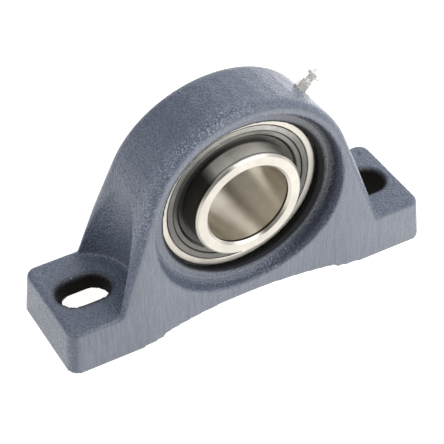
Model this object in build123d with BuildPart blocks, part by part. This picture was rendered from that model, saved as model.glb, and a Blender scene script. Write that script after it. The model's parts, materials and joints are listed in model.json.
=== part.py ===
from build123d import *
import os
from math import cos, radians, sin, sqrt, tan

# Pillow block bearing: a cast housing with a self-aligning ball bearing insert.
# Millimetres. X runs along the housing, Y along the shaft and Z up. The origin lies on the
# plane that the feet stand on, below the bearing's centre, and the front faces -Y.

# Housing
overall_length = 160.0
foot_width = 45.0
foot_height = 19.0
foot_end_draft = 1.5
foot_corner_radius = 4.6
foot_edge_round = 1.4
floor_below_recess = 7.3
rim_round_recess = 5.1
flank_angle = 19.9
body_width = 34.0
waist_radius = 195.0
waist_blend = 50.0
crown_round_front = 3.6
crown_round_back = 5.0
crown_draft = 1.8
crown_lean = 7.9
crown_lean_rise = 15.0
crown_lean_blend = 15.0
relief_length = 79.0
relief_height = 1.0

# Bolt slots, the scoops that give a bolt head room and the hollows under the feet
bolt_end_distance = 17.0
slot_length = 21.0
slot_width = 14.0
slot_edge_round = 0.8
scoop_side_wall = 2.5
scoop_floor_round = 4.5
foot_plate = 8.0
foot_side_wall = 5.0
foot_end_wall = 10.0
foot_hollow_length = 24.5
foot_hollow_draft = 4.0
foot_hollow_corner = 10.0
dowel_mark_end_distance = 7.4
dowel_mark_side_distance = 6.5
dowel_mark_radius = 1.5
dowel_mark_depth = 1.1

# Recesses round the bearing and the spherical seat between them, which ends at seat_front in
# front of the middle and at seat_back behind it
seat_front = 12.5
seat_back = 10.6
seat_clearance = 0.05
recess_round_ring = 4.3
recess_draft = 10.0
recess_floor_round = 2.4
recess_edge_round = 0.5
grease_groove_width = 8.0
grease_groove_depth = 1.2
grease_groove_centre = 3.0
loading_slot_clearance = 0.3

# Bearing insert
bore_radius = 17.5
ring_sphere_radius = 36.0
outer_ring_width = 19.0
outer_ring_chamfer = 1.3
outer_land_radius = 30.0
outer_mouth_radius = 31.1
ring_edge_chamfer = 0.3
seal_seat_radius = 31.5
seal_seat_start = 6.6
seal_seat_width = 0.65
inner_ring_radius = 23.05
inner_ring_front = 17.5
inner_ring_back = 25.4
inner_ring_chamfer = 0.9
bore_chamfer = 1.0
ball_count = 9
ball_diameter = 11.112
ball_circle_diameter = 53.5
ball_clearance = 0.03
groove_conformity = 0.513
oil_hole_radius = 0.8
oil_hole_offset = 6.0
oil_hole_angle = 75.0

# Ball cage, seals and flingers
cage_radial_gap = 1.4
cage_pocket_clearance = 0.15
cage_back_web = 0.75
cage_finger_reach = 2.6
seal_plate_thickness = 0.5
seal_plate_bore = 25.6
seal_lip_clearance = 0.06
seal_lip_waist = 0.9
seal_lip_edge = 0.35
flinger_thickness = 0.5
flinger_rim_radius = 30.7
flinger_rim_inner = 28.5
flinger_rim_recess = 0.35
flinger_step = 0.35
flinger_cone_drop = 0.2
flinger_wall_outer = 26.4
flinger_wall_inner = 25.4
flinger_wall_drop = 0.75
flinger_collar = 1.1

# Grub screws that lock the shaft
screw_spread = 120.0
screw_radius = 3.0
screw_length = 5.6
screw_bore_standoff = 0.35
screw_clearance = 0.04
screw_edge_distance = 5.5
screw_socket_across_flats = 3.0
screw_socket_depth = 3.0
screw_point_radius = 1.6
screw_point_height = 0.9

# Grease nipple
nipple_angle = 47.0
nipple_spot_depth = 0.2
nipple_spot_radius = 4.7
nipple_thread_radius = 3.0
nipple_thread_length = 5.5
nipple_thread_clearance = 0.03
nipple_end_gap = 0.3
nipple_duct_radius = 1.4
nipple_flange_radius = 3.9
nipple_flange_height = 0.7
nipple_hex_across_flats = 7.0
nipple_hex_height = 2.6
nipple_shoulder_radius = 2.9
nipple_shoulder_height = 4.4
nipple_neck_radius = 2.2
nipple_neck_height = 6.6
nipple_neck_slope = 0.5
nipple_head_radius = 3.2
nipple_head_slope = 0.7
nipple_head_height = 8.2
nipple_tip_radius = 1.7
nipple_height = 10.4
nipple_mouth_radius = 0.75
nipple_bore_radius = 0.6
check_ball_radius = 1.0
check_ball_depth = 1.3
check_bore_clearance = 0.06
check_seat_gap = 0.03
check_spring_wire = 0.14
check_spring_turns = 6
check_spring_foot = 2.6

# How far a cutter stands past what it cuts, and how near counts as touching
clear = 5.0
tiny = 0.001

# The housing is sized round the insert that it holds.
recess_radius = ring_sphere_radius + recess_round_ring
crown_radius = recess_radius + rim_round_recess
centre_height = recess_radius + floor_below_recess

# Shared places
half_length = overall_length / 2
half_foot = foot_width / 2
half_body = body_width / 2
bolt_x = half_length - bolt_end_distance
scoop_radius = half_foot - scoop_side_wall
dowel_mark_x = half_length - dowel_mark_end_distance
dowel_mark_y = half_foot - dowel_mark_side_distance
bearing_centre = (0, 0, centre_height)
bearing_plane = Plane.XY.offset(centre_height)
bearing_axis = Axis(bearing_centre, (0, 1, 0))
front_and_back = (-1, 1)
left_and_right = (-1, 1)
half_seats = (seat_front, seat_back)

# Casting: its sides lean in to the plan at sides_height, and its flanks touch the crown. Both
# narrow from front to back by crown_draft, so they are drawn in front, where they are widest.
# The back of the crown also leans in, starting crown_lean_rise above the bearing's centre.
sides_height = centre_height + crown_radius + clear
crown_plan_length = overall_length - 2 * foot_end_draft * sides_height / foot_height
draft_slope = tan(radians(crown_draft))
drawn_radius = crown_radius + (half_foot - half_body) * draft_slope
flank_lean = radians(flank_angle)
flank_top_x = drawn_radius * cos(flank_lean)
flank_top_z = centre_height + drawn_radius * sin(flank_lean)
flank_base_x = flank_top_x + flank_top_z * tan(flank_lean)
lean_slope = tan(radians(crown_lean))
lean_base_y = half_body + (centre_height + crown_lean_rise - foot_height) * lean_slope
lean_top_y = lean_base_y - (sides_height - foot_height) * lean_slope
foot_hollow_width = foot_width - 2 * foot_side_wall
foot_hollow_depth = foot_height - foot_plate
foot_hollow_centre = half_length - foot_end_wall - foot_hollow_length / 2
seat_radius = ring_sphere_radius + seat_clearance
recess_slope = tan(radians(recess_draft))
recess_mouth_radius = recess_radius + (foot_width - half_body) * recess_slope

# Rings and balls
half_ring = outer_ring_width / 2
ball_radius = ball_diameter / 2
ball_circle_radius = ball_circle_diameter / 2
groove_radius = groove_conformity * ball_diameter
outer_groove_centre = ball_circle_radius + ball_radius + ball_clearance - groove_radius
inner_groove_centre = ball_circle_radius - ball_radius - ball_clearance + groove_radius
ball_step = 360 / ball_count
ball_centres = [(ball_circle_radius * cos(radians(90 + k * ball_step)), 0,
                 centre_height + ball_circle_radius * sin(radians(90 + k * ball_step)))
                for k in range(ball_count)]
oil_hole_direction = (cos(radians(oil_hole_angle)), 0, sin(radians(oil_hole_angle)))
oil_hole_plane = Plane(origin=(0, oil_hole_offset, centre_height), z_dir=oil_hole_direction)

# Cage, seals and flingers
cage_length = ball_radius + cage_pocket_clearance + cage_back_web + cage_finger_reach
cage_middle = (ball_radius + cage_pocket_clearance + cage_back_web - cage_finger_reach) / 2
cage_height = outer_land_radius - inner_ring_radius - 2 * cage_radial_gap
seal_lip_bore = inner_ring_radius + seal_lip_clearance
seal_lip_outside = seal_seat_start + seal_plate_thickness
flinger_rim_face = half_ring - flinger_rim_recess
flinger_cone_face = flinger_rim_face - flinger_step
flinger_wall_face = flinger_cone_face - flinger_cone_drop
flinger_hub_face = flinger_wall_face - flinger_wall_drop
flinger_collar_radius = inner_ring_radius + flinger_thickness

# Grub screws: each plane lies on the bearing's axis and faces out along the screw.
screw_planes = [Plane(origin=(0, inner_ring_back - screw_edge_distance, centre_height),
                      z_dir=(sin(radians(turn)), 0, cos(radians(turn))))
                for turn in (-screw_spread / 2, screw_spread / 2)]
screw_tip_radius = bore_radius + screw_bore_standoff

# Grease nipple: heights are measured outwards from its seat on the crown.
nipple_direction = Vector(sin(radians(nipple_angle)), 0, cos(radians(nipple_angle)))
nipple_seat_distance = crown_radius - half_body * draft_slope - nipple_spot_depth
nipple_seat_point = Vector(*bearing_centre) + nipple_direction * nipple_seat_distance
nipple_seat = Plane(origin=nipple_seat_point, z_dir=nipple_direction)
nipple_section = Plane(origin=nipple_seat_point, z_dir=(0, -1, 0),
                       x_dir=(nipple_direction.Z, 0, -nipple_direction.X))
nipple_axis = Axis(nipple_seat_point, nipple_direction)
nipple_shank_radius = nipple_thread_radius - nipple_thread_clearance
check_bore_radius = check_ball_radius + check_bore_clearance
check_ball_height = nipple_height - check_ball_depth
check_seat_height = (check_ball_height - check_bore_radius
                     + (check_ball_radius + check_seat_gap) * sqrt(2))
check_lip_height = check_seat_height + check_bore_radius - nipple_mouth_radius
check_spring_radius = check_ball_radius - check_spring_wire - check_bore_clearance
check_ball_reach = check_ball_radius + check_spring_wire + check_seat_gap
check_spring_top = check_ball_height - sqrt(check_ball_reach**2 - check_spring_radius**2)
check_spring_height = check_spring_top - check_spring_foot - check_spring_wire
check_spring_pitch = check_spring_height / check_spring_turns


def ring_section(points):
    """Close a section of a turned piece, given as radius and distance along its axis."""
    Polygon(*points, align=None)


def lies_on_outline(point):
    """Tell whether a point lies on the surface of the crown or of a flank."""
    rise = point.Z - centre_height
    radius = crown_radius - (point.Y + half_body) * draft_slope
    from_crown = sqrt(point.X**2 + rise**2) - radius
    from_flank = abs(point.X) * cos(flank_lean) + rise * sin(flank_lean) - radius
    return point.Z > tiny and min(abs(from_crown), abs(from_flank)) < tiny


def lies_on_recess_rim(point):
    """Tell whether a point lies where the wall of a recess meets the casting's face."""
    radius = sqrt(point.X**2 + (point.Z - centre_height)**2)
    wall_radius = recess_radius + (abs(point.Y) - half_body) * recess_slope
    floor = seat_front if point.Y < 0 else seat_back
    return abs(point.Y) > floor + recess_floor_round and abs(radius - wall_radius) < tiny


# The sides of the casting lean in from a waisted base plan.
with BuildPart() as casting_sides:
    with BuildSketch() as base_plan:
        Rectangle(overall_length, foot_width)
        with Locations(*[(0, side * (half_body + waist_radius)) for side in front_and_back]):
            Circle(waist_radius, mode=Mode.SUBTRACT)
        waist_corners = [v for v in base_plan.vertices() if abs(v.X) < half_length - clear]
        fillet(waist_corners, radius=waist_blend)
    with BuildSketch(Plane.XY.offset(sides_height)):
        Rectangle(crown_plan_length, body_width)
    loft(ruled=True)

# The feet are one slab with round corners and a round top edge.
with BuildPart() as feet:
    Box(overall_length + clear, foot_width + clear, foot_height,
        align=(Align.CENTER, Align.CENTER, Align.MIN))
    add(casting_sides.part, mode=Mode.INTERSECT)
    foot_corners = [e for e in feet.edges() if abs(e.center().X) > half_length - clear
                    and abs((e @ 1 - e @ 0).Z) > clear]
    fillet(foot_corners, radius=foot_corner_radius)
    fillet(feet.faces().sort_by(Axis.Z)[-1].edges(), radius=foot_edge_round)

# A round crown and the flanks that touch it, with a long round edge on each face
with BuildPart() as crown:
    with BuildSketch(Plane.XZ.offset(half_foot)):
        with Locations((0, centre_height)):
            Circle(drawn_radius)
        Polygon((-flank_base_x, 0), (flank_base_x, 0), (flank_top_x, flank_top_z),
                (-flank_top_x, flank_top_z), align=None)
    extrude(amount=-foot_width, taper=crown_draft)
    add(casting_sides.part, mode=Mode.INTERSECT)

    # The back leans in above the bearing, with a soft bend where the lean starts.
    with BuildSketch(Plane.YZ):
        Polygon((lean_base_y, foot_height), (foot_width, foot_height),
                (foot_width, sides_height), (lean_top_y, sides_height), align=None)
    extrude(amount=overall_length, both=True, mode=Mode.SUBTRACT)
    lean_bend = [e for e in crown.edges() if e.center().Y > half_body - tiny
                 and abs((e @ 1 - e @ 0).X) > tiny and foot_height < e.center().Z
                 and not lies_on_outline(e @ 0.5)]
    fillet(lean_bend, radius=crown_lean_blend)
    outline_edges = [e for e in crown.edges() if lies_on_outline(e @ 0.25)
                     and lies_on_outline(e @ 0.75) and abs(e.center().Y) > half_body / 2]
    fillet([e for e in outline_edges if e.center().Y < 0], radius=crown_round_front)
    fillet([e for e in outline_edges if e.center().Y > 0], radius=crown_round_back)

with BuildPart() as housing:
    add(feet.part)
    add(crown.part)

    # Scoops round the bolts
    for side in left_and_right:
        with BuildSketch(Plane.XZ) as scoop:
            with Locations((side * bolt_x, foot_height)):
                Rectangle(scoop_radius, centre_height + crown_radius, align=Align.MIN)
            floor_corner = [v for v in scoop.vertices() if abs(v.Z - foot_height) < tiny
                            and v.X > side * bolt_x + tiny]
            fillet(floor_corner, radius=scoop_floor_round)
        revolve(axis=Axis((side * bolt_x, 0, 0), (0, 0, 1)), mode=Mode.SUBTRACT)

    # Bolt slots, and the hollows under the feet
    for side in left_and_right:
        with BuildSketch(Plane.XY.offset(foot_height)):
            with Locations((side * bolt_x, 0)):
                SlotOverall(slot_length, slot_width)
        extrude(amount=-foot_height, mode=Mode.SUBTRACT)
        with BuildSketch():
            with Locations((side * foot_hollow_centre, 0)):
                RectangleRounded(foot_hollow_length, foot_hollow_width, foot_hollow_corner)
        extrude(amount=foot_hollow_depth, taper=foot_hollow_draft, mode=Mode.SUBTRACT)
    slot_rims = [e for e in housing.edges() if abs(e.center().Z - foot_height) < tiny
                 and abs(e.center().Y) < slot_width / 2 + tiny
                 and abs(abs(e.center().X) - bolt_x) < slot_length / 2]
    fillet(slot_rims, radius=slot_edge_round)
    with Locations(*[(side * dowel_mark_x, dowel_mark_y, foot_height) for side in left_and_right]):
        Cone(bottom_radius=0, top_radius=dowel_mark_radius, height=dowel_mark_depth,
             align=(Align.CENTER, Align.CENTER, Align.MAX), mode=Mode.SUBTRACT)
    with BuildSketch():
        Rectangle(relief_length, foot_width)
    extrude(amount=relief_height, mode=Mode.SUBTRACT)

    # Round recess on each face, spherical seat, grease groove and loading slots
    for side, half_seat in zip(front_and_back, half_seats):
        recess_floor_radius = recess_radius - (half_body - half_seat) * recess_slope
        with BuildSketch(bearing_plane) as recess:
            ring_section([(0, side * half_seat), (recess_floor_radius, side * half_seat),
                          (recess_mouth_radius, side * foot_width), (0, side * foot_width)])
            floor_corner = recess.vertices().sort_by(Axis.X)[-2:].sort_by(
                Axis.Y, reverse=side > 0)[-1:]
            fillet(floor_corner, radius=recess_floor_round)
        revolve(axis=bearing_axis, mode=Mode.SUBTRACT)
    with Locations(bearing_centre):
        Sphere(seat_radius, mode=Mode.SUBTRACT)
    with BuildSketch(bearing_plane):
        with Locations((0, grease_groove_centre)):
            Rectangle(seat_radius + grease_groove_depth, grease_groove_width,
                      align=(Align.MIN, Align.CENTER))
    revolve(axis=bearing_axis, mode=Mode.SUBTRACT)
    with BuildSketch(Plane.XZ):
        with Locations((0, centre_height)):
            Circle(seat_radius)
            Rectangle(2 * seat_radius, outer_ring_width + 2 * loading_slot_clearance,
                      mode=Mode.INTERSECT)
    extrude(amount=-seat_back, mode=Mode.SUBTRACT)
    recess_rims = [e for e in housing.edges() if lies_on_recess_rim(e @ 0.3)
                   and lies_on_recess_rim(e @ 0.7)]
    fillet(recess_rims, radius=recess_edge_round)

    # Spot face, threaded hole and duct for the grease nipple
    with BuildSketch(nipple_seat):
        Circle(nipple_spot_radius)
    extrude(amount=clear, mode=Mode.SUBTRACT)
    with BuildSketch(nipple_seat):
        Circle(nipple_thread_radius)
    extrude(amount=-nipple_thread_length, mode=Mode.SUBTRACT)
    with BuildSketch(nipple_seat):
        Circle(nipple_duct_radius)
    extrude(amount=seat_radius - nipple_seat_distance, mode=Mode.SUBTRACT)
housing.part.label = "housing"

with BuildPart() as outer_ring:
    with BuildSketch(bearing_plane) as outer_section:
        Circle(ring_sphere_radius)
        Rectangle(ring_sphere_radius, outer_ring_width, align=(Align.MIN, Align.CENTER),
                  mode=Mode.INTERSECT)
        Rectangle(outer_land_radius, outer_ring_width, align=(Align.MIN, Align.CENTER),
                  mode=Mode.SUBTRACT)
        with Locations((outer_groove_centre, 0)):
            Circle(groove_radius, mode=Mode.SUBTRACT)
        for side, outward in ((-1, Align.MAX), (1, Align.MIN)):
            with Locations((0, side * seal_seat_start)):
                Rectangle(outer_mouth_radius, half_ring, align=(Align.MIN, outward), mode=Mode.SUBTRACT)
                Rectangle(seal_seat_radius, seal_seat_width, align=(Align.MIN, outward),
                          mode=Mode.SUBTRACT)
        face_corners = outer_section.vertices().filter_by(lambda v: abs(abs(v.Y) - half_ring) < tiny)
        chamfer(face_corners.sort_by(Axis.X)[-2:], length=outer_ring_chamfer)
        face_corners = outer_section.vertices().filter_by(lambda v: abs(abs(v.Y) - half_ring) < tiny)
        chamfer(face_corners.sort_by(Axis.X)[:2], length=ring_edge_chamfer)
    revolve(axis=bearing_axis)
    with BuildSketch(oil_hole_plane):
        Circle(oil_hole_radius)
    extrude(amount=ring_sphere_radius, mode=Mode.SUBTRACT)
outer_ring.part.label = "outer_ring"

with BuildPart() as inner_ring:
    with BuildSketch(bearing_plane) as inner_section:
        ring_section([(bore_radius, -inner_ring_front), (inner_ring_radius, -inner_ring_front),
                      (inner_ring_radius, inner_ring_back), (bore_radius, inner_ring_back)])
        bore_corners = inner_section.vertices().sort_by(Axis.X)[:2]
        chamfer(bore_corners, length=bore_chamfer)
        shoulder_corners = inner_section.vertices().sort_by(Axis.X)[-2:]
        chamfer(shoulder_corners, length=inner_ring_chamfer)
        with Locations((inner_groove_centre, 0)):
            Circle(groove_radius, mode=Mode.SUBTRACT)
    revolve(axis=bearing_axis)
    for plane in screw_planes:
        with BuildSketch(plane):
            Circle(screw_radius + screw_clearance)
        extrude(amount=inner_ring_radius, mode=Mode.SUBTRACT)
inner_ring.part.label = "inner_ring"

balls = []
for number in range(ball_count):
    with BuildPart() as ball:
        with Locations(ball_centres[number]):
            Sphere(ball_radius)
    ball.part.label = f"ball_{number + 1}"
    balls.append(ball)

with BuildPart() as cage:
    with BuildSketch(bearing_plane):
        with Locations((ball_circle_radius, cage_middle)):
            Rectangle(cage_height, cage_length)
    revolve(axis=bearing_axis)
    with Locations(*ball_centres):
        Sphere(ball_radius + cage_pocket_clearance, mode=Mode.SUBTRACT)
cage.part.label = "cage"

seals = []
for side, name in zip(front_and_back, ("front", "back")):
    with BuildPart() as seal_plate:
        with BuildSketch(bearing_plane):
            ring_section([(seal_plate_bore, side * seal_seat_start),
                          (seal_seat_radius, side * seal_seat_start),
                          (seal_seat_radius, side * seal_lip_outside),
                          (seal_plate_bore, side * seal_lip_outside)])
        revolve(axis=bearing_axis)
    seal_plate.part.label = f"seal_plate_{name}"
    with BuildPart() as seal_lip:
        with BuildSketch(bearing_plane):
            ring_section([(seal_lip_bore, side * seal_lip_outside),
                          (seal_plate_bore, side * seal_lip_outside),
                          (seal_plate_bore, side * seal_seat_start),
                          (seal_lip_bore + seal_lip_waist, side * seal_seat_start),
                          (seal_lip_bore, side * (seal_seat_start + seal_lip_edge))])
        revolve(axis=bearing_axis)
    seal_lip.part.label = f"seal_lip_{name}"
    seals += [seal_plate, seal_lip]

flingers = []
for side, name in zip(front_and_back, ("front", "back")):
    with BuildPart() as flinger:
        with BuildSketch(bearing_plane):
            face = [(flinger_wall_inner, flinger_hub_face), (flinger_wall_outer, flinger_wall_face),
                    (flinger_rim_inner - flinger_step, flinger_cone_face),
                    (flinger_rim_inner, flinger_rim_face), (flinger_rim_radius, flinger_rim_face)]
            collar = [(inner_ring_radius, flinger_hub_face - flinger_thickness),
                      (inner_ring_radius, flinger_hub_face + flinger_collar),
                      (flinger_collar_radius, flinger_hub_face + flinger_collar),
                      (flinger_collar_radius, flinger_hub_face)]
            inside = [(r, y - flinger_thickness) for r, y in reversed(face)]
            ring_section([(r, side * y) for r, y in collar + face + inside])
        revolve(axis=bearing_axis)
    flinger.part.label = f"flinger_{name}"
    flingers.append(flinger)

grub_screws = []
for number, plane in enumerate(screw_planes):
    with BuildPart() as grub_screw:
        with BuildSketch(plane.offset(screw_tip_radius)) as screw_point:
            Circle(screw_point_radius)
        with BuildSketch(plane.offset(screw_tip_radius + screw_point_height)):
            Circle(screw_radius)
        loft()
        with BuildSketch(plane.offset(screw_tip_radius + screw_point_height)):
            Circle(screw_radius)
        extrude(amount=screw_length - screw_point_height)
        with BuildSketch(plane.offset(screw_tip_radius + screw_length)):
            RegularPolygon(screw_socket_across_flats / 2, 6, major_radius=False)
        extrude(amount=-screw_socket_depth, mode=Mode.SUBTRACT)
    grub_screw.part.label = f"grub_screw_{number + 1}"
    grub_screws.append(grub_screw)

with BuildPart() as grease_nipple:
    with BuildSketch(nipple_section):
        ring_section([(0, -nipple_thread_length + nipple_end_gap),
                      (nipple_shank_radius, -nipple_thread_length + nipple_end_gap),
                      (nipple_shank_radius, 0),
                      (nipple_flange_radius, 0), (nipple_flange_radius, nipple_flange_height),
                      (nipple_shoulder_radius, nipple_flange_height),
                      (nipple_shoulder_radius, nipple_shoulder_height),
                      (nipple_neck_radius, nipple_shoulder_height + nipple_neck_slope),
                      (nipple_neck_radius, nipple_neck_height),
                      (nipple_head_radius, nipple_neck_height + nipple_head_slope),
                      (nipple_head_radius, nipple_head_height),
                      (nipple_tip_radius, nipple_height), (0, nipple_height)])
    revolve(axis=nipple_axis)
    with BuildSketch(nipple_seat.offset(nipple_flange_height)):
        RegularPolygon(nipple_hex_across_flats / 2, 6, major_radius=False)
    extrude(amount=nipple_hex_height)
    with BuildSketch(nipple_section):
        ring_section([(0, -nipple_thread_length), (nipple_bore_radius, -nipple_thread_length),
                      (nipple_bore_radius, check_spring_foot), (check_bore_radius, check_spring_foot),
                      (check_bore_radius, check_seat_height), (nipple_mouth_radius, check_lip_height),
                      (nipple_mouth_radius, nipple_height), (0, nipple_height)])
    revolve(axis=nipple_axis, mode=Mode.SUBTRACT)
grease_nipple.part.label = "grease_nipple"

with BuildPart() as nipple_check_ball:
    with Locations(nipple_seat.offset(check_ball_height).origin):
        Sphere(check_ball_radius)
nipple_check_ball.part.label = "nipple_check_ball"

with BuildPart() as nipple_spring:
    with BuildLine():
        coil = Helix(pitch=check_spring_pitch, height=check_spring_height,
                     radius=check_spring_radius, direction=nipple_direction,
                     center=nipple_seat.offset(check_spring_foot + check_spring_wire).origin)
    with BuildSketch(Plane(origin=coil @ 0, z_dir=coil % 0)):
        Circle(check_spring_wire)
    sweep(path=coil)
nipple_spring.part.label = "nipple_spring"

os.makedirs("parts", exist_ok=True)
for piece in [housing, outer_ring, inner_ring, *balls, cage, *seals, *flingers, *grub_screws,
              grease_nipple, nipple_check_ball, nipple_spring]:
    export_step(piece.part, f"parts/{piece.part.label}.step")
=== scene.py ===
import json
from math import cos, radians, sin

import bmesh
import bpy
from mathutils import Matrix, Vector


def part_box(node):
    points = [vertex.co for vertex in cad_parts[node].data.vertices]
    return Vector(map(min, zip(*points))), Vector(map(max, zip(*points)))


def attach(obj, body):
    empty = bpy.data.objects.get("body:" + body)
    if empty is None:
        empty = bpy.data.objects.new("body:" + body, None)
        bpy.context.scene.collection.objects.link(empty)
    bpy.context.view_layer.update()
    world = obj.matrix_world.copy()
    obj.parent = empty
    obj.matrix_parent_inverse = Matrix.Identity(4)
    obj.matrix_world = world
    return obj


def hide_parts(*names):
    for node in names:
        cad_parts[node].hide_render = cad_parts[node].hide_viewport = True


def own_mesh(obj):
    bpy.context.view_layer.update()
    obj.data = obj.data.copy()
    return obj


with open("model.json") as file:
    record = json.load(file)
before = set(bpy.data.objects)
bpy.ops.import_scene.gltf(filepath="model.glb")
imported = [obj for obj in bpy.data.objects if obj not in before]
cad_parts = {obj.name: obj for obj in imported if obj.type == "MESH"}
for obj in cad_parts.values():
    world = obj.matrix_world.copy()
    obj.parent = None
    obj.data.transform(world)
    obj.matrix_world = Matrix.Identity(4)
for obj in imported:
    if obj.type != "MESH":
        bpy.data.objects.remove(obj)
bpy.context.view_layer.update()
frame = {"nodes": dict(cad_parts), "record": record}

# A cast pillow block in slate blue paint, with a ground steel insert bearing and a zinc plated
# grease nipple. Metres, in the frame of the solids: X along the housing, the front faces -Y, Z up.
mm = 0.001

ring_low, ring_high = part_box("outer_ring")
bearing_centre = (ring_low + ring_high) / 2
seat_radius = 36.05 * mm

# Bolt slots, in mm: their centres from the middle, half their straight part, their end radius, the
# height of the foot's top, the rounding of their rims and the share of a full round that it takes
bolt_place = 63.0
slot_straight = 3.5
slot_radius = 7.0
slot_top = 19.0
rim_round = 2.0
rim_depth = 0.8

# The casting's skin: the size of its faces, and how often it is smoothed
skin_grain = 0.70 * mm
skin_turns = 2

# Faces that meet at less than this are shaded as one
smooth_angle = radians(30)

# The place that the lights face
light_aim = Vector((0.0, 0.0, 0.05))

# The photograph's camera
camera_target = Vector((-2.1, 0.0, 26.54)) * mm
camera_azimuth = radians(-29.69)
camera_elevation = radians(42.05)
camera_distance = 640.76 * mm
camera_lens = 132.33


# Materials

def add_node(tree, kind, values=None, **settings):
    """Add a node; values gives its inputs as numbers or as other nodes' outputs."""
    made = tree.nodes.new(kind)
    for name, setting in settings.items():
        setattr(made, name, setting)
    for name, value in (values or {}).items():
        if isinstance(value, bpy.types.NodeSocket):
            tree.links.new(value, made.inputs[name])
        else:
            made.inputs[name].default_value = value
    return made


def add_math(tree, operation, *values):
    """Add a math node and give its result."""
    return add_node(tree, "ShaderNodeMath", dict(enumerate(values)), operation=operation).outputs[0]


def add_vector_math(tree, operation, *values):
    """Add a vector math node and give its vector result."""
    return add_node(tree, "ShaderNodeVectorMath", dict(enumerate(values)),
                    operation=operation).outputs["Vector"]


def add_length(tree, vector):
    """The length of a vector."""
    return add_node(tree, "ShaderNodeVectorMath", {0: vector}, operation="LENGTH").outputs["Value"]


def split(tree, vector):
    """A vector's x, y and z."""
    return add_node(tree, "ShaderNodeSeparateXYZ", {0: vector}).outputs


def add_share(tree, name):
    """Read one of the shares stored on the casting's points."""
    return add_node(tree, "ShaderNodeAttribute", attribute_name=name).outputs["Fac"]


def add_ramp(tree, factor, *stops):
    """Add a ramp that runs through stops, each a position and a grey or a colour."""
    made = add_node(tree, "ShaderNodeValToRGB", {"Fac": factor})
    elements = made.color_ramp.elements
    while len(elements) < len(stops):
        elements.new(0.5)
    for element, (position, shade) in zip(elements, stops):
        element.position = position
        element.color = (*shade, 1) if isinstance(shade, tuple) else (shade, shade, shade, 1)
    return made.outputs["Color"]


def add_scale(tree, length, low, high, *stops):
    """Run a ramp over a length in metres; low, high and the stops' positions are in mm."""
    span = high - low
    factor = add_math(tree, "MULTIPLY_ADD", length, 1000.0 / span, -low / span)
    return add_ramp(tree, factor, *(((stop - low) / span, shade) for stop, shade in stops))


def add_mix(tree, share, first, second, blend="MIX"):
    """Mix two colours by share."""
    made = add_node(tree, "ShaderNodeMix", data_type="RGBA", blend_type=blend)
    # The node's share, its two colours and its mixed colour are at these numbers
    for number, value in ((0, share), (6, first), (7, second)):
        socket = made.inputs[number]
        if isinstance(value, bpy.types.NodeSocket):
            tree.links.new(value, socket)
        else:
            socket.default_value = (*value, 1) if isinstance(value, tuple) else value
    return made.outputs[2]


def add_tint(tree, colour, tint):
    """Multiply one colour by another."""
    return add_mix(tree, 1.0, colour, tint, "MULTIPLY")


def add_noise(tree, place, scale, detail=2.0, roughness=0.5):
    """Add noise whose features are about 1 / scale metres across."""
    made = add_node(tree, "ShaderNodeTexNoise", {
        "Vector": place, "Scale": scale, "Detail": detail, "Roughness": roughness})
    return made.outputs["Fac"]


def add_stretched_noise(tree, place, scale, turn, detail):
    """Add noise with its own scale along each axis, turned about Y."""
    bent = add_node(tree, "ShaderNodeMapping", {
        "Vector": place, "Scale": scale, "Rotation": (0.0, turn, 0.0)}).outputs[0]
    return add_noise(tree, bent, 1.0, detail, 0.6)


def add_bump(tree, height, distance, strength=1.0, under=None):
    """Add a bump of that height in metres, over another bump where one is given."""
    values = {"Height": height, "Distance": distance, "Strength": strength}
    if under is not None:
        values["Normal"] = under
    return add_node(tree, "ShaderNodeBump", values).outputs["Normal"]


def dress(tree, shader, **outputs):
    """Link outputs to the shader's sockets of those names."""
    for socket, output in outputs.items():
        tree.links.new(output, shader.inputs[socket.replace("_", " ")])


def start_material(name, metallic, roughness):
    """Start a material; give it, its tree, its shader and the object coordinates."""
    made = bpy.data.materials.new(name)
    made.use_nodes = True
    tree = made.node_tree
    shader = tree.nodes["Principled BSDF"]
    shader.inputs["Metallic"].default_value = metallic
    shader.inputs["Roughness"].default_value = roughness
    place = add_node(tree, "ShaderNodeTexCoord").outputs["Object"]
    return made, tree, shader, place


def turned_place(tree, place, width, changes):
    """Coordinates for marks that run round the bearing's axis: they are about width metres wide,
    and change about that many times in one radian of their turn."""
    x, y, z = split(tree, add_vector_math(tree, "SUBTRACT", place, tuple(bearing_centre)))
    radius = add_math(tree, "SQRT", add_math(
        tree, "ADD", add_math(tree, "MULTIPLY", x, x), add_math(tree, "MULTIPLY", z, z)))
    turn = add_math(tree, "ARCTAN2", z, x)
    bent = add_node(tree, "ShaderNodeCombineXYZ", {
        0: add_math(tree, "DIVIDE", radius, width),
        1: add_math(tree, "DIVIDE", y, width),
        2: add_math(tree, "MULTIPLY", turn, changes)})
    return bent.outputs[0]


def axis_distance(tree, place):
    """The distance from the bearing's axis, in metres."""
    moved = add_vector_math(tree, "SUBTRACT", place, tuple(bearing_centre))
    return add_length(tree, add_vector_math(tree, "MULTIPLY", moved, (1.0, 0.0, 1.0)))


def turned_sheen(tree, shader, place, amount):
    """Draw highlights out across marks that run round the bearing's axis."""
    moved = add_vector_math(tree, "SUBTRACT", place, tuple(bearing_centre))
    around = add_vector_math(tree, "CROSS_PRODUCT", moved, (0.0, 1.0, 0.0))
    tangent = add_node(tree, "ShaderNodeVectorTransform", {"Vector": around},
                       vector_type="VECTOR", convert_from="OBJECT", convert_to="WORLD")
    dress(tree, shader, Tangent=tangent.outputs[0])
    shader.inputs["Anisotropic"].default_value = amount
    shader.inputs["Anisotropic Rotation"].default_value = 0.25


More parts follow.
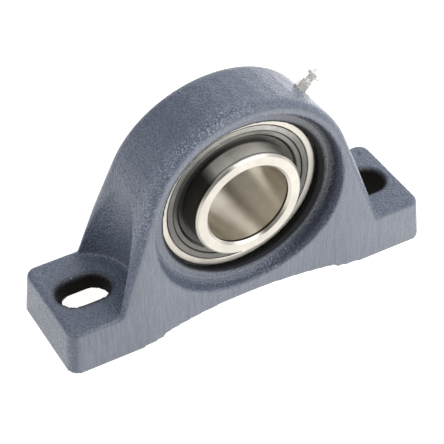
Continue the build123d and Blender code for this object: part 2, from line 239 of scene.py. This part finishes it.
def cast_paint():
    """Slate blue semi-gloss paint over sand-cast iron: grinding streaks on the flat faces, painted
    glints on the front ridge's high grains, painted shade in the grain, in the recess and round the
    slot rims, and painted deep shade in the slots and beside the outer ring."""
    made, tree, shader, place = start_material("slate_blue_cast_paint", 0.0, 0.42)
    flat, rough, painted_shade, deep_shade, glint_mask = (add_share(tree, name) for name in (
        "flat_face", "rough_cast", "painted_shade_mask", "painted_deep_shade", "painted_glint_ridge"))

    streaks = add_stretched_noise(tree, place, (1500.0, 1500.0, 60.0), 0.0, 3.0)
    specks = add_stretched_noise(tree, place, (1500.0, 1500.0, 2100.0), 0.7, 2.0)
    grain = add_noise(tree, place, 900.0, 3.0, 0.55)
    patches = add_noise(tree, place, 60.0, 4.0, 0.55)
    lumps = add_noise(tree, place, 260.0, 2.0, 0.5)
    pebbles = add_node(tree, "ShaderNodeTexVoronoi", {"Vector": place, "Scale": 1250.0},
                       feature="SMOOTH_F1").outputs["Distance"]

    coat = add_ramp(tree, patches, (0.30, (0.098, 0.116, 0.163)), (0.70, (0.116, 0.135, 0.183)))
    streaked = add_ramp(tree, streaks, (0.3, (0.082, 0.098, 0.140)), (0.7, (0.165, 0.184, 0.230)))
    coat = add_mix(tree, add_math(tree, "MULTIPLY", flat, 0.8), coat, streaked)
    # Painted shade: the paint darkened in the front recess and round the bolt slots' rims
    coat = add_mix(tree, add_math(tree, "MULTIPLY", painted_shade, 0.75), coat, (0.020, 0.024, 0.033))
    # Painted shade on the cast grain: darker at the pebbles' edges and lighter in their middles
    pebble_shade = add_ramp(tree, pebbles, (0.10, 1.22), (0.55, 0.78))
    # Painted glints: bright specks on the crown's front ridge, standing in for highlights
    painted_glints = add_ramp(tree, specks, (0.38, 0.70), (0.54, 1.05), (0.66, (2.7, 2.5, 2.2)))
    grain_shade_and_glints = add_mix(tree, glint_mask, add_mix(tree, rough, (1, 1, 1), pebble_shade), painted_glints)
    # Painted deep shade: near black in the slots and hollow feet, and a painted shadow beside the
    # ring
    coat = add_mix(tree, deep_shade, add_tint(tree, coat, grain_shade_and_glints), (0.009, 0.0075, 0.006))
    gloss = add_ramp(tree, grain, (0.3, 0.16), (0.7, 0.34))
    mirror = add_ramp(tree, flat, (0.0, 0.5), (1.0, 1.0))

    waves = add_bump(tree, add_math(tree, "MULTIPLY", lumps, rough), 0.00060, 0.5)
    relief = add_math(tree, "ADD", add_math(tree, "MULTIPLY", pebbles, rough), grain)
    cast = add_bump(tree, relief, 0.00034, 0.8, waves)
    ground = add_bump(tree, add_math(tree, "MULTIPLY", streaks, flat), 0.00012, 0.5, cast)
    # Under the painted deep shade the paint is also rougher and less mirror-like, so the floor's
    # glow stays out
    dress(tree, shader, Base_Color=coat, Normal=ground,
          Roughness=add_mix(tree, deep_shade, gloss, (0.8, 0.8, 0.8)),
          Specular_IOR_Level=add_mix(tree, deep_shade, mirror, (0.1, 0.1, 0.1)))
    return made


def bearing_steel():
    """Ground steel with fine marks that run round the axis. The bore is honed and warmer, painted
    darker towards its top, with a painted dark reflection line behind its front chamfer; the inner
    ring's outside carries painted light and shade on its left and right and a painted dark line
    near its front."""
    made, tree, shader, place = start_material("ground_bearing_steel", 1.0, 0.28)
    marks = add_noise(tree, turned_place(tree, place, 0.00022, 1.5), 1.0, 3.0, 0.6)
    stains = add_noise(tree, place, 160.0, 4.0, 0.6)
    x, y, z = split(tree, place)
    radius = axis_distance(tree, place)

    honed_and_shaded = add_ramp(tree, stains, (0.30, (0.70, 0.645, 0.545)), (0.72, (0.80, 0.745, 0.645)))
    # Painted shade: the bore's colour darker towards its top
    honed_and_shaded = add_tint(tree, honed_and_shaded, add_scale(
        tree, z, 22.5, 72.5, (33.5, 1.08), (52.5, 0.82), (62.5, 0.60)))
    # Painted dark reflection line in the bore just behind its front chamfer
    painted_bore_line = add_scale(
        tree, y, -20, -10, (-16.65, 0.0), (-16.55, 1.0), (-15.7, 1.0), (-15.4, 0.0))
    honed_and_shaded = add_mix(tree, painted_bore_line, honed_and_shaded, (0.05, 0.042, 0.032))

    ground = add_ramp(tree, stains, (0.30, (0.55, 0.525, 0.475)), (0.72, (0.63, 0.605, 0.555)))
    beyond_bore = add_scale(tree, radius, 0, 40, (17.56, 0.0), (17.64, 1.0))
    steel = add_mix(tree, beyond_bore, honed_and_shaded, ground)

    outside = add_scale(tree, radius, 0, 40, (22.94, 0.0), (22.98, 1.0), (23.6, 1.0), (24.0, 0.0))
    # Painted light and shade on the inner ring's outside: dark on its left and right, brighter
    # between
    painted_side_shade = add_scale(tree, x, -25, 25, (-22.5, 0.04), (-16.5, 0.08), (-12.5, 1.3), (-8.0, 1.2),
                     (-5.0, 0.8), (6.0, 1.1), (15.0, 0.6), (21.0, 0.2))
    steel = add_mix(tree, outside, steel, add_tint(tree, steel, painted_side_shade))
    # Painted shade line on the inner ring's outside near its front chamfer
    painted_front_line = add_math(tree, "MULTIPLY", outside, add_scale(
        tree, y, -20, -10, (-16.05, 0.0), (-15.95, 1.0), (-15.6, 1.0), (-15.5, 0.0)))
    steel = add_mix(tree, painted_front_line, steel, (0.06, 0.05, 0.04))
    shine = add_scale(tree, x, -25, 25, (-16.5, 1.0), (-12.5, 0.35), (8.0, 0.35), (15.0, 1.0))

    dress(tree, shader, Base_Color=steel, Metallic=add_mix(tree, outside, (1, 1, 1), shine),
          Roughness=add_ramp(tree, marks, (0.3, 0.28), (0.7, 0.40)),
          Normal=add_bump(tree, marks, 0.000004, 0.3))
    turned_sheen(tree, shader, place, 0.85)
    return made


def sheet_steel():
    """Dull grey-brown pressed sheet, with painted shade in steps outwards and painted light at the
    top.
    """
    made, tree, shader, place = start_material("dull_sheet_steel", 0.65, 0.26)
    marks = add_noise(tree, turned_place(tree, place, 0.00035, 1.2), 1.0, 2.0, 0.5)
    stains = add_noise(tree, place, 220.0, 4.0, 0.6)
    sheet = add_ramp(tree, stains, (0.30, (0.150, 0.147, 0.138)), (0.72, (0.205, 0.201, 0.188)))
    height = split(tree, place)["Z"]
    # Painted light by height: a little darker about the axis, much brighter at the top
    painted_height_light = add_scale(tree, height, 0, 100, (30.0, 1.0), (50.0, 0.75), (62.0, 1.0), (74.0, 2.2))
    # Painted shade by radius: dark towards the hub and in a narrow line at the rim's step
    painted_shade = add_scale(tree, axis_distance(tree, place), 0, 40, (24.6, 0.30), (26.2, 0.55),
                    (26.6, 0.85), (27.8, 0.90), (28.12, 0.25), (28.52, 0.25), (28.8, 1.0))
    sheet = add_tint(tree, add_tint(tree, sheet, painted_height_light), painted_shade)
    dress(tree, shader, Base_Color=sheet, Roughness=add_ramp(tree, marks, (0.3, 0.20), (0.7, 0.32)),
          Normal=add_bump(tree, marks, 0.000004, 0.3))
    turned_sheen(tree, shader, place, 0.5)
    return made


def zinc_plate():
    """Bright zinc plate with soft clouding."""
    made, tree, shader, place = start_material("bright_zinc_plate", 0.65, 0.22)
    clouds = add_noise(tree, place, 900.0, 3.0, 0.6)
    dress(tree, shader, Normal=add_bump(tree, clouds, 0.00003, 0.3),
          Base_Color=add_ramp(tree, clouds, (0.3, (0.80, 0.795, 0.765)), (0.7, (0.96, 0.95, 0.92))),
          Roughness=add_ramp(tree, clouds, (0.3, 0.14), (0.7, 0.28)))
    return made


def small_steel(name, dark, light, rough_low, rough_high):
    """Bright or blackened small steel, clouded a little."""
    made, tree, shader, place = start_material(name, 1.0, rough_low)
    clouds = add_noise(tree, place, 700.0, 3.0, 0.6)
    dress(tree, shader, Base_Color=add_ramp(tree, clouds, (0.3, dark), (0.7, light)),
          Roughness=add_ramp(tree, clouds, (0.3, rough_low), (0.7, rough_high)))
    return made


def moulded(name, dark, light, rough_low, rough_high):
    """Moulded plastic or rubber with a fine matt grain."""
    made, tree, shader, place = start_material(name, 0.0, rough_low)
    grain = add_noise(tree, place, 1600.0, 3.0, 0.6)
    dress(tree, shader, Base_Color=add_ramp(tree, grain, (0.3, dark), (0.7, light)),
          Roughness=add_ramp(tree, grain, (0.3, rough_low), (0.7, rough_high)),
          Normal=add_bump(tree, grain, 0.00003, 0.4))
    return made


finishes = {
    "housing_paint": cast_paint(),
    "bearing_steel": bearing_steel(),
    "sheet_steel": sheet_steel(),
    "zinc_plate": zinc_plate(),
    "ball_steel": small_steel(
        "polished_ball_steel", (0.70, 0.69, 0.67), (0.84, 0.83, 0.80), 0.06, 0.12),
    "spring_steel": small_steel(
        "drawn_spring_wire", (0.45, 0.44, 0.42), (0.62, 0.60, 0.57), 0.22, 0.34),
    "black_steel": small_steel(
        "black_oxide_steel", (0.030, 0.030, 0.032), (0.07, 0.07, 0.075), 0.30, 0.45),
    "cage_plastic": moulded(
        "moulded_cage_plastic", (0.50, 0.43, 0.27), (0.62, 0.55, 0.37), 0.38, 0.5),
    "seal_rubber": moulded(
        "moulded_seal_rubber", (0.010, 0.010, 0.011), (0.022, 0.022, 0.024), 0.45, 0.6),
}
behaviour = frame["record"]["behaviour"]
slots = {part["node"]: part["material_slot"] for part in frame["record"]["subparts"]}
bodies = {node: body for body, nodes in behaviour["bodies"].items() for node in nodes}


# Pieces

def finish_piece(piece, node):
    """Give a piece its node's finish and body, and let it stand for the node."""
    piece.data.materials.clear()
    piece.data.materials.append(finishes[slots[node]])
    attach(piece, bodies[node])
    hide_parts(node)


def merged_copy(node, name):
    """Copy a node's mesh with its loose triangles joined and its stored normals dropped."""
    mesh = frame["nodes"][node].data.copy()
    mesh.name = name
    if "custom_normal" in mesh.attributes:
        mesh.attributes.remove(mesh.attributes["custom_normal"])
    piece = bpy.data.objects.new(name, mesh)
    bpy.context.scene.collection.objects.link(piece)
    form = bmesh.new()
    form.from_mesh(mesh)
    bmesh.ops.remove_doubles(form, verts=form.verts, dist=0.001 * mm)
    form.to_mesh(mesh)
    form.free()
    return piece


def smooth_copy(node):
    """Copy a node with smooth shading, and sharp edges where its faces turn further."""
    piece = merged_copy(node, f"{node}_dressed")
    piece.data.shade_smooth()
    piece.data.set_sharp_from_angle(angle=smooth_angle)
    finish_piece(piece, node)
    return piece


def rise(value, start, end):
    """How far value has come on its way from start to end, from 0 to 1."""
    return min(max((value - start) / (end - start), 0), 1)


def from_slot(place):
    """How far a place is outside the outline of the nearer bolt slot, in mm."""
    across = max(abs(abs(place.x) / mm - bolt_place) - slot_straight, 0)
    return (across ** 2 + (place.y / mm) ** 2) ** 0.5 - slot_radius


def from_bearing(place):
    """A place seen from the bearing's centre, and its distance from the axis, in mm."""
    from_centre = (place - bearing_centre) / mm
    return from_centre, (from_centre.x ** 2 + from_centre.z ** 2) ** 0.5


def deep_shade_share(place):
    """How much painted deep shade darkens the paint: wholly in the bolt slots and the hollow feet,
    and as a painted shadow on the floor of the recess beside the outer ring, furthest out at the
    front's lower right."""
    from_centre, radius = from_bearing(place)
    height = place.z / mm
    in_slot = rise(height, slot_top - 0.1, slot_top - 1.3) * rise(from_slot(place), 1.6, 0.8)
    low_right = 0.4
    if place.y < 0:
        low_right = max((from_centre.x * 0.87 - from_centre.z * 0.50) / radius, 0)
    edge = 35.3 + 2.0 * low_right
    beside_ring = rise(radius, edge, edge - 0.6) * rise(height, 8.0, 10.0)
    return max(in_slot, 0.9 * beside_ring)


def painted_shade_share(place):
    """How much painted shade darkens the paint: round the bolt slots' rims, and in the front
    recess on the side of the grease nipple."""
    outside = from_slot(place)
    if outside < 2.6 and place.z / mm < slot_top + 0.5:
        return rise(outside, 2.6, 1.0)
    from_centre, radius = from_bearing(place)
    if from_centre.y >= 0:
        return 0
    in_recess = rise(radius, 41.2, 39.7) * rise(from_centre.y, -17.0, -16.2)
    return in_recess * rise(from_centre.x / radius, 0.15, 0.75)


def glint_share(place, normal):
    """How strongly painted glints lie on the casting's high grains: on the crown's front ridge,
    left of the top.
    """
    from_centre, radius = from_bearing(place)
    on_ridge = rise(radius, 41.0, 42.0) * rise(from_centre.y, -8.0, -12.0)
    outward = (normal.x * from_centre.x + normal.z * from_centre.z) / max(radius, 1)
    turned = rise(outward, 0.25, 0.5) * rise(from_centre.z, -4.0, 6.0)
    return on_ridge * turned * rise(from_centre.x, 12.0, -8.0)


def settle(vertex):
    """Keep a vertex of the skin clear of the bearing's sphere, and round the bolt slots' rims."""
    from_centre = vertex.co - bearing_centre
    if from_centre.length < seat_radius:
        vertex.co = bearing_centre + from_centre.normalized() * seat_radius
    outside = from_slot(vertex.co)
    if abs(vertex.co.z / mm - slot_top) < 0.6 and outside < rim_round:
        inward = min(rim_round - outside, rim_round)
        drop = rim_round - (rim_round ** 2 - inward ** 2) ** 0.5
        vertex.co.z -= drop * rim_depth * mm


def cast_housing():
    """The casting with an even skin, so that its edges are soft, and with shares on its points
    that tell the paint where it is ground or rough, and where it carries painted shade, painted
    deep shade and painted glints."""
    model = merged_copy("housing", "housing_model")
    remesh = model.modifiers.new("skin", "REMESH")
    remesh.mode = "VOXEL"
    remesh.voxel_size = skin_grain
    skinned = model.evaluated_get(bpy.context.evaluated_depsgraph_get())
    mesh = bpy.data.meshes.new_from_object(skinned)
    mesh.name = "cast_housing"
    form = bmesh.new()
    form.from_mesh(mesh)
    for turn in range(skin_turns):
        bmesh.ops.smooth_vert(form, verts=form.verts, factor=0.5, use_axis_x=True, use_axis_y=True,
                              use_axis_z=True)
    for vertex in form.verts:
        settle(vertex)
    form.to_mesh(mesh)
    form.free()
    piece = bpy.data.objects.new("cast_housing", mesh)
    bpy.context.scene.collection.objects.link(piece)
    bpy.data.objects.remove(model)
    mesh.shade_smooth()
    shares = "flat_face", "rough_cast", "painted_shade_mask", "painted_deep_shade", "painted_glint_ridge"
    for share in shares:
        mesh.attributes.new(share, "FLOAT", "POINT")
    flat, rough, shade_values, deep_shade, glint_mask = (mesh.attributes[share].data for share in shares)
    for vertex in mesh.vertices:
        facing = rise(abs(vertex.normal.y), 0.90, 0.98)
        flat[vertex.index].value = facing
        rough[vertex.index].value = 1.0 - 0.8 * facing
        shade_values[vertex.index].value = painted_shade_share(vertex.co)
        deep_shade[vertex.index].value = deep_shade_share(vertex.co)
        glint_mask[vertex.index].value = glint_share(vertex.co, vertex.normal)
    finish_piece(piece, "housing")


def squeeze(piece):
    """Give a spring its own copy of its mesh."""
    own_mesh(piece)


cast_housing()
dressed = {node: smooth_copy(node) for node in slots if node != "housing"}
squeeze(dressed["nipple_spring"])


# Stage

def soft_light(name, place, size, power, mirrored=True):
    """A soft box at place that faces the part; only a mirrored one shows in shiny surfaces."""
    lamp = bpy.data.lights.new(name, "AREA")
    lamp.shape = "RECTANGLE"
    lamp.size, lamp.size_y = size
    lamp.energy = power
    box = bpy.data.objects.new(name, lamp)
    bpy.context.scene.collection.objects.link(box)
    box.visible_glossy = mirrored
    box.location = place
    box.rotation_mode = "QUATERNION"
    box.rotation_quaternion = (light_aim - Vector(place)).to_track_quat("-Z", "Y")


def pale_floor():
    """A wide pale floor under the feet, whose glow is painted light: more to the right, with a
    painted shadow under the part.
    """
    form = bmesh.new()
    bmesh.ops.create_grid(form, x_segments=1, y_segments=1, size=3.0)
    mesh = bpy.data.meshes.new("floor")
    form.to_mesh(mesh)
    form.free()
    floor = bpy.data.objects.new("floor", mesh)
    bpy.context.scene.collection.objects.link(floor)
    made, tree, shader, place = start_material("pale_floor", 0.0, 0.8)
    x, y = split(tree, place)[:2]
    rightwards = add_math(tree, "MULTIPLY_ADD", y, -0.57, x)
    glow = add_scale(tree, rightwards, -312.5, 312.5,
                     (-300.0, (0.35, 0.345, 0.33)), (-115.0, (0.95, 0.94, 0.92)),
                     (-30.0, (1.0, 0.985, 0.96)), (81.25, (1.3, 1.28, 1.24)))
    away = add_length(tree, add_vector_math(tree, "ADD", place, (-0.015, -0.042, 0.0)))
    # Painted shadow: the floor's glow drops near the part
    shadow = add_scale(tree, away, 0, 50, (17.5, 0.12), (50.0, 1.0))
    dress(tree, shader, Emission_Color=add_tint(tree, glow, shadow),
          Base_Color=add_ramp(tree, add_noise(tree, place, 3.0), (0.3, 0.29), (0.7, 0.31)))
    shader.inputs["Emission Strength"].default_value = 1.0
    mesh.materials.append(made)


def camera():
    """The camera at the photograph's angle."""
    lens = bpy.data.cameras.new("camera")
    lens.lens = camera_lens
    lens.clip_start = 0.01
    eye = bpy.data.objects.new("camera", lens)
    bpy.context.scene.collection.objects.link(eye)
    back = Vector((sin(camera_azimuth) * cos(camera_elevation),
                   -cos(camera_azimuth) * cos(camera_elevation), sin(camera_elevation)))
    eye.location = camera_target + back * camera_distance
    eye.rotation_mode = "QUATERNION"
    eye.rotation_quaternion = (-back).to_track_quat("-Z", "Y")
    bpy.context.scene.camera = eye


def studio():
    """Walls and ceiling that are dark to the left of the zenith and light to its right."""
    world = bpy.data.worlds.new("studio")
    world.use_nodes = True
    tree = world.node_tree
    x, _, z = split(tree, add_node(tree, "ShaderNodeTexCoord").outputs["Generated"])
    across = add_math(tree, "SQRT", add_math(
        tree, "ADD", add_math(tree, "MULTIPLY", x, x), add_math(tree, "MULTIPLY", z, z)))
    tilt = add_math(tree, "MULTIPLY_ADD", add_math(tree, "DIVIDE", x, across), 0.5, 0.5)
    walls = add_ramp(tree, tilt, (0.0, 0.18), (0.08, 0.30), (0.20, 0.26), (0.33, 0.07),
                     (0.44, 0.10), (0.56, 0.75), (0.72, 1.05), (0.88, 1.0), (1.0, 0.85))
    tree.links.new(walls, tree.nodes["Background"].inputs["Color"])
    bpy.context.scene.world = world


pale_floor()
studio()
soft_light("top_box", (0.0, -0.30, 0.95), (0.35, 0.35), 2.6)
soft_light("left_box", (-0.80, 0.10, 0.50), (0.3, 0.3), 1.6)
soft_light("side_box", (-0.80, 0.45, 0.25), (0.5, 0.5), 3.2, mirrored=False)
soft_light("right_box", (0.75, 0.45, 0.30), (0.5, 0.5), 8.0, mirrored=False)
soft_light("front_box", (0.48, -0.70, 0.62), (0.8, 0.6), 3.4)
camera()
bpy.context.scene.view_settings.view_transform = "Standard"
